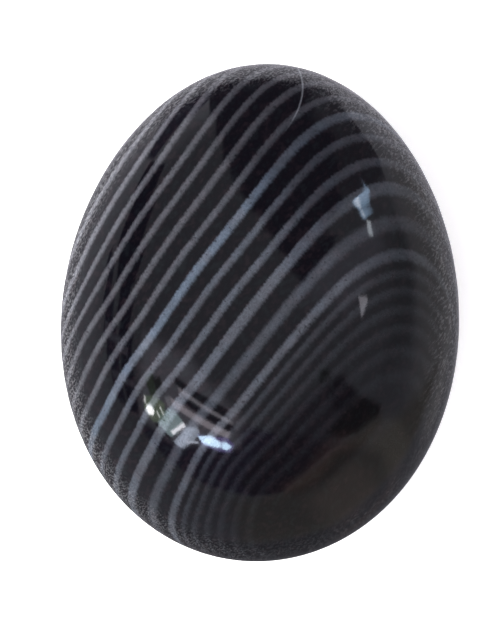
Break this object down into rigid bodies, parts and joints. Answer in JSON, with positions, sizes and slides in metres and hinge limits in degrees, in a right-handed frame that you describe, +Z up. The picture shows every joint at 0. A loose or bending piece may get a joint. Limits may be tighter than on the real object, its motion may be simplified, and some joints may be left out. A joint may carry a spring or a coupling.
{
  "type": "sulemani agate cabochon",
  "caption": "Polished oval agate cabochon with pale grey layers in near-black stone, lying on a small flat spot on its back.",
  "frame": {"origin": "middle of the flat spot on the back, which is the middle of the bounding box's underside", "axes": "+Z up through the dome, +Y along the stone towards its narrower end, +X across it"},
  "size_m": [0.02, 0.025, 0.0076],
  "materials": {
    "agate": "polished"
  },
  "bodies": {
    "root": {"agate": "agate"}
  },
  "joints": []
}
